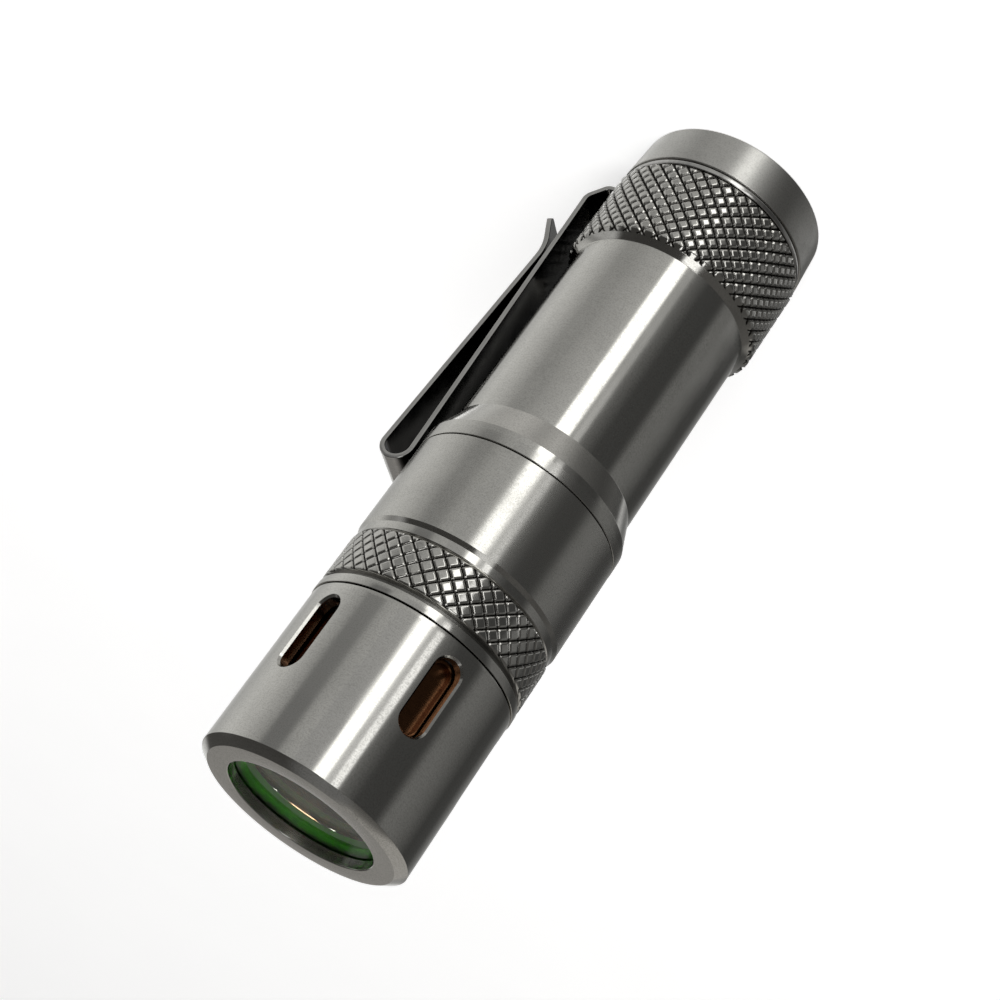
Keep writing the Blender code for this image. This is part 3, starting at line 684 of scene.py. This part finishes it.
def carve(piece, cutters):
    """Cuts all the cutters from a piece at once and removes them."""
    group = bpy.data.collections.new("cutting")
    for cutter in cutters:
        group.objects.link(cutter)
    boolean = piece.modifiers.new("cut", "BOOLEAN")
    boolean.operand_type = "COLLECTION"
    boolean.collection = group
    boolean.solver = "EXACT"
    bpy.context.view_layer.update()
    shaped = piece.evaluated_get(bpy.context.evaluated_depsgraph_get())
    cut_mesh = bpy.data.meshes.new_from_object(shaped)
    piece.modifiers.remove(boolean)
    piece.data = cut_mesh
    for cutter in cutters:
        bpy.data.objects.remove(cutter)
    bpy.data.collections.remove(group)


SLOT_ANGLES = [6.0 + 72.0 * i for i in range(5)]
SLOT_W, SLOT_L, SLOT_MID = 2.3, 6.7, 56.85


def make_bezel():
    """Front sleeve: chamfered rim, a short cone into the opening, and slots with broken edges."""
    bore, opening, face_r, lip_z = 8.0, 6.36, 8.17, 66.2
    side = [(HEAD_R, z) for z in np.linspace(61.5, 52.6, 24)]
    shell = Lathe(360).run(eased([
        (opening + 0.07, FACE_Z, 0.03),
        (face_r, FACE_Z, 0.05),
        (HEAD_R, 66.5, 0.05),
        *side,
        (HEAD_R, HEAD_Z, 0.06),
        (bore, HEAD_Z),
        *[(bore, z) for z in np.linspace(52.8, 61.5, 23)],
        (bore, lip_z),
        (opening, lip_z),
        (opening, FACE_Z - 0.07, 0.03),
    ]))
    bezel = shell.done("bezel")
    rings = [(bore - 0.8, 0.0), (HEAD_R - 0.20, 0.0), (HEAD_R + 0.3, 0.39)]
    carve(bezel, [slot_cutter("slot", rings, a, SLOT_W, SLOT_L, SLOT_MID) for a in SLOT_ANGLES])
    finish(bezel, TITANIUM, "head", "titanium", "bezel_shell")


def make_heat_sink():
    """Copper core with the shallow pockets that show through the slots."""
    core = Lathe(240).run(eased([
        (6.75, CORE_TOP),
        (CORE_R, CORE_TOP, 0.15),
        *[(CORE_R, z) for z in np.linspace(61.5, 53.9, 16)],
        (CORE_R, 53.56),
        (7.07, 53.56),
        (7.07, 52.84),
        (7.6, 52.84),
        (7.6, CORE_Z),
        (6.95, CORE_Z),
        (6.95, 48.2),
    ]))
    core.pole(48.2, False)
    core.rings.insert(0, core.ring(6.75, 56.7))
    core.join(core.rings[0], core.rings[1])
    core.pole(56.7, True)
    sink = core.done("heat_sink", closed=False)
    rings = [(CORE_R - 0.45, 0.0), (CORE_R + 0.6, 0.0)]
    cutters = [slot_cutter("pocket", rings, a, SLOT_W * 0.8, SLOT_L * 0.92, SLOT_MID) for a in SLOT_ANGLES]
    carve(sink, cutters)
    finish(sink, COPPER, "head", "copper", "copper_core")


def make_front():
    """Glass with ground edges, the green gasket under it and the moulded optic behind."""
    edge = 0.12
    glass = Lathe(180).run(eased([
        (3.0, GLASS_TOP),
        (GLASS_R, GLASS_TOP, edge),
        (GLASS_R, GLASS_Z, edge),
        (3.0, GLASS_Z),
    ]))
    glass.pole(GLASS_TOP, True).pole(GLASS_Z, False)
    finish(glass.done("front_glass", closed=False), GLASS, "head", "lens_glass", "lens_glass")

    gasket_r, gasket_z, gasket_top = span("glow_gasket")
    gasket = Lathe(180).run(eased([
        (5.72, gasket_top, 0.14),
        (gasket_r, gasket_top, 0.14),
        (gasket_r, gasket_z, 0.14),
        (5.72, gasket_z, 0.14),
    ]))
    finish(gasket.done("gasket"), GLOW_RUBBER, "head", "glow_rubber", "glow_gasket")

    optic_r, foot, rim = span("tir_optic")
    cone = []
    for k in range(13):
        share = k / 12
        cone.append((3.2 + (optic_r - 0.35 - 3.2) * share ** 0.62, foot + (rim - 1.0 - foot) * share))
    lens = Lathe(180).run(
        [(3.0, rim), (optic_r - 0.05, rim), (optic_r, rim - 0.05), (optic_r, rim - 0.7)]
        + cone[::-1]
        + [(1.9, foot), (1.85, foot + 1.1), (1.2, foot + 1.45), (0.6, foot + 1.58)]
    )
    lens.pole(rim, True).pole(foot + 1.62, False)
    finish(lens.done("optic", closed=False), ACRYLIC, "head", "optic_acrylic", "tir_optic")


def make_seal(node, name, body, line_r, cord_r, z):
    """A smooth rubber ring in place of a coarse one."""
    loop = [2 * math.pi * k / 16 for k in range(16)]
    ring = Lathe(120).run([(line_r + cord_r * math.cos(a), z - cord_r * math.sin(a)) for a in loop])
    finish(ring.done(name), RUBBER, body, "black_rubber", node)


# ---------------------------------------------------------------- clip


# The clip in its own plane, (distance from the axis, height): leg, corner, arm, heel bend, touching
# point and turned-up tip.
LEG_Z, LEG_OUT = 4.48, 9.3
CORNER, HEEL, BEND_R = Vector((10.62, 6.0)), Vector((9.45, 36.3)), 1.33
TOUCH, TIP = Vector((10.91, 12.7)), Vector((12.45, 9.3))
ARM = HEEL - CORNER
LIFT = CORNER + ARM * 0.07
STRIP_W, STRIP_T = 6.2, 0.48


def fillet(points, radii, steps=10):
    """A line of 2D points with its inner corners rounded."""
    line = [points[0]]
    for before, corner, after, radius in zip(points, points[1:], points[2:], radii):
        line += rounded(before, corner, after, radius, steps)
    return line + [points[-1]]


def subdivided(line, longest=0.5):
    """The same line with extra points, so that it can bend anywhere."""
    fine = [line[0]]
    for a, b in zip(line, line[1:]):
        count = max(1, math.ceil((b - a).length / longest))
        fine += [a + (b - a) * k / count for k in range(1, count + 1)]
    return fine


def strip(name, line, tip=False):
    """Sheet steel swept along a line in the XZ plane, its long edges rounded off."""
    edge = 0.09
    half_w, half_t = STRIP_W / 2, STRIP_T / 2
    section = []
    for sx, sy in ((1, 1), (-1, 1), (-1, -1), (1, -1)):
        start = math.atan2(sy, sx) - math.pi / 4
        for k in range(4):
            a = start + math.pi / 2 * k / 3
            section.append((sx * (half_w - edge) + edge * math.cos(a), sy * (half_t - edge) + edge * math.sin(a)))
    points = []
    for i, p in enumerate(line):
        ahead = line[min(i + 1, len(line) - 1)] - p
        behind = p - line[max(i - 1, 0)]
        along = (ahead.normalized() + behind.normalized()).normalized()
        side = Vector((along.y, -along.x))
        to_tip = max(0.0, 0.5 - (line[-1] - p).length) if tip else 0.0
        narrow = 1.0 - to_tip ** 2 * 0.55
        for w, t in section:
            spot = p + side * t
            points.append((spot.x, w * narrow, spot.y))
    count = len(section)
    faces = [tuple(range(count)), tuple(range(len(points) - count, len(points)))]
    for i in range(len(line) - 1):
        for k in range(count):
            j = (k + 1) % count
            faces.append((i * count + k, i * count + j, (i + 1) * count + j, (i + 1) * count + k))
    return make_object(name, points, faces)


def make_clip():
    """Washer and leg, the inner arm, and the heel bend with the outer arm, each bending into the next."""
    washer = Lathe(160).run(eased([
        (7.6, LEG_Z + 0.25, 0.05),
        (WASHER_R, LEG_Z + 0.25, 0.12),
        (WASHER_R, LEG_Z - 0.25, 0.12),
        (7.6, LEG_Z - 0.25, 0.05),
    ]))
    finish(washer.done("clip_washer_ring"), CLIP_STEEL, "clip_base", "clip_steel", "clip_washer")

    leg_line = fillet([Vector((7.9, LEG_Z)), Vector((LEG_OUT, LEG_Z)), CORNER, LIFT - ARM.normalized() * 0.6],
                      [0.7, 1.0])
    finish(strip("clip_leg", subdivided(leg_line)), CLIP_FOLD_PAINTED_SHADE, "clip_base", "clip_steel", "clip_washer")

    arm_line = subdivided([leg_line[-1], HEEL])
    arm = finish(strip("clip_arm", arm_line), CLIP_FOLD_PAINTED_SHADE, None, "clip_steel", "clip_inner_arm")
    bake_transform(arm)

    middle = HEEL + Vector((BEND_R, 0))
    turns = [math.pi - math.pi * k / 24 for k in range(25)]
    bend = [middle + BEND_R * Vector((math.cos(a), math.sin(a))) for a in turns]
    outer = fillet([bend[-1], TOUCH, TIP], [5.0])
    spring = strip("clip_spring", bend + subdivided(outer)[1:], tip=True)
    finish(spring, CLIP_FOLD_PAINTED_SHADE, None, "clip_steel", "clip_outer_arm")
    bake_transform(spring)


# ---------------------------------------------------------------- studio


# Brightness by compass angle of the walls, the ceiling and the ground that the metal reflects.
PANELS = [
    (-180, 0.06), (-154, 0.065), (-139, 0.16), (-134, 0.22), (-132.5, 0.38), (-121.5, 0.47), (-120.7, 2.2),
    (-104, 2.2), (-102.5, 0.60), (-92, 0.52), (-80, 0.47), (-60, 0.38), (-44, 0.38), (-32, 0.50), (-20, 0.62),
    (0, 0.72), (16, 0.60), (28, 0.50), (44, 0.60), (56, 1.0), (66, 0.90), (74, 0.36), (84, 0.22), (92, 0.16),
    (104, 0.07), (122, 0.06), (144, 0.15), (160, 0.19), (170, 0.19), (176, 0.10), (180, 0.06),
]
CEILING = [
    (-180, 0.10), (-140, 0.10), (-112, 0.06), (-60, 0.05), (20, 0.07), (42, 0.08), (52, 0.29), (68, 0.30),
    (80, 0.42), (112, 0.44), (122, 0.12), (155, 0.09), (180, 0.10),
]
GROUND = [
    (-180, 0.12), (-160, 0.17), (-130, 0.45), (-112, 0.58), (-80, 0.42), (-45, 0.62), (-20, 0.52), (60, 0.50),
    (105, 0.14), (150, 0.06), (180, 0.12),
]
BRIGHTEST = 2.2
ZENITH = 0.17

# Lit panels in front of the walls, ceiling and ground: brightness, two compass angles, two heights
# (as the sine of the angle above the horizon) and how soft their edges are, across and up.
SLABS = [
    (0.42, (-106.5, -84, -0.39, 0.05, 1.5, 0.03)),
    (0.20, (-68, -46, -0.39, 0.05, 4.0, 0.03)),
    (0.75, (-125.5, -119, -0.42, 0.05, 0.8)),
    (1.50, (-133.5, -126, -0.44, 0.05, 1.0)),
    (1.80, (-134, -112, 0.49, 0.93)),
    (0.60, (98, 150, -0.70, -0.60, 8.0, 0.02)),
    (1.70, (26, 56, -0.70, -0.60, 5.0, 0.02)),
    (0.50, (-30, 12, 0.20, 0.50, 6.0)),
]


def by_azimuth(nodes, turn, levels, tint):
    """Soft panels round the horizon: brightness by compass angle."""
    stops = [((a + 180) / 360, [level / BRIGHTEST * c for c in tint]) for a, level in levels]
    return nodes.ramp(turn, stops)


def make_studio():
    """A pale floor in a ring of soft panels. The camera sees a plain pale room; the metal sees the panels."""
    world = bpy.data.worlds.new("studio")
    bpy.context.scene.world = world
    world.use_nodes = True
    nodes = Nodes(world.node_tree)
    world.node_tree.nodes.clear()
    way = nodes.add("ShaderNodeTexCoord").outputs["Generated"]
    parts = nodes.add("ShaderNodeSeparateXYZ", {0: way}).outputs
    angle = nodes.math("ARCTAN2", parts[1], parts[0])
    turn = nodes.math("ADD", nodes.math("DIVIDE", angle, 2 * math.pi), 0.5)
    walls = by_azimuth(nodes, turn, PANELS, (1.0, 1.0, 0.985))
    roof = by_azimuth(nodes, turn, CEILING, (1.0, 0.97, 0.93))
    ground = by_azimuth(nodes, turn, GROUND, (1.0, 0.99, 0.97))
    room = nodes.mix(nodes.smooth(parts[2], -0.82, -0.70, 1.0, 0.0), walls, ground)
    room = nodes.mix(nodes.smooth(parts[2], 0.05, 0.20), room, roof)
    room = nodes.mix(nodes.smooth(parts[2], 0.93, 0.985), room, colour4([ZENITH / BRIGHTEST] * 3))

    def slab(low_angle, high_angle, low_z, high_z, soft_angle=2.5, soft_z=0.06):
        """A lit panel between two compass angles and two heights, 0 outside and 1 inside."""
        low, up = (low_angle + 180) / 360, (high_angle + 180) / 360
        soft = soft_angle / 360
        sides = nodes.math("MULTIPLY", nodes.smooth(turn, low - soft, low + soft),
                           nodes.smooth(turn, up - soft, up + soft, 1.0, 0.0))
        ends = nodes.math("MULTIPLY", nodes.smooth(parts[2], low_z - soft_z, low_z + soft_z),
                          nodes.smooth(parts[2], high_z - soft_z, high_z + soft_z, 1.0, 0.0))
        return nodes.math("MULTIPLY", sides, ends)

    for level, edges in SLABS:
        room = nodes.mix(slab(*edges), room, colour4([level / BRIGHTEST] * 3))
    inside = nodes.add("ShaderNodeBackground", {"Color": room, "Strength": BRIGHTEST}).outputs[0]
    backdrop = nodes.add("ShaderNodeBackground", {"Color": (1, 1, 1, 1), "Strength": 1.0}).outputs[0]
    seen = nodes.add("ShaderNodeLightPath").outputs["Is Camera Ray"]
    mixed = nodes.add("ShaderNodeMixShader", {0: seen, 1: inside, 2: backdrop}).outputs[0]
    nodes.add("ShaderNodeOutputWorld", {"Surface": mixed})

    floor_look, shader, looks = fresh("pale_floor")
    grain = looks.noise(looks.place(), 40.0, 2.0)
    pale = looks.mix(looks.smooth(grain, 0.3, 0.7), (0.86, 0.86, 0.86, 1), (0.88, 0.88, 0.88, 1))
    looks.tree.links.new(pale, shader.inputs["Base Color"])
    shader.inputs["Roughness"].default_value = 0.8
    shader.inputs["Emission Color"].default_value = (1, 1, 1, 1)
    shader.inputs["Emission Strength"].default_value = 0.62
    half = 3000.0
    low = cad_box[0].z / MM
    corners = [(-half, -half, low), (half, -half, low), (half, half, low), (-half, half, low)]
    floor = make_object("floor", corners, [(0, 1, 2, 3)])
    floor.data.materials.append(floor_look)
    floor.visible_glossy = False

    lamp = bpy.data.lights.new("soft_box", "AREA")
    lamp.shape, lamp.size, lamp.energy = "DISK", 0.5, 3.0
    soft_box = bpy.data.objects.new("soft_box", lamp)
    bpy.context.scene.collection.objects.link(soft_box)
    soft_box.location = (-0.25, -0.35, 0.75)
    soft_box.rotation_euler = (-soft_box.location).to_track_quat("-Z", "Y").to_euler()
    soft_box.visible_glossy = False
    bpy.context.scene.view_settings.view_transform = "Standard"


def make_camera():
    """Looks down on the lens end from the front left, with the light lying across the picture."""
    around, distance, height = math.radians(-120), 144.1, 108.9
    aim = Vector((1.26, -0.73, 36.6)) * MM
    roll = math.radians(-144.6)
    data = bpy.data.cameras.new("camera")
    data.lens, data.sensor_width = 73.08, 36.0
    data.clip_start, data.clip_end = 0.01, 20.0
    camera = bpy.data.objects.new("camera", data)
    bpy.context.scene.collection.objects.link(camera)
    place = Vector((distance * math.cos(around), distance * math.sin(around), height)) * MM
    ahead = (aim - place).normalized()
    level = ahead.cross(Vector((0, 0, 1))).normalized()
    upright = level.cross(ahead)
    right = level * math.cos(roll) + upright * math.sin(roll)
    up = right.cross(ahead)
    turn = Matrix((right, up, -ahead)).transposed()
    camera.matrix_world = Matrix.Translation(place) @ turn.to_4x4()
    bpy.context.scene.camera = camera


dress_cad_nodes()
make_camera()
make_tail()
make_springs()
make_barrel()
make_head_sleeve()
make_bezel()
make_heat_sink()
make_front()
make_seal("barrel_oring", "neck_seal", "barrel", line_r=7.83, cord_r=0.25, z=38.0)
make_clip()
make_studio()
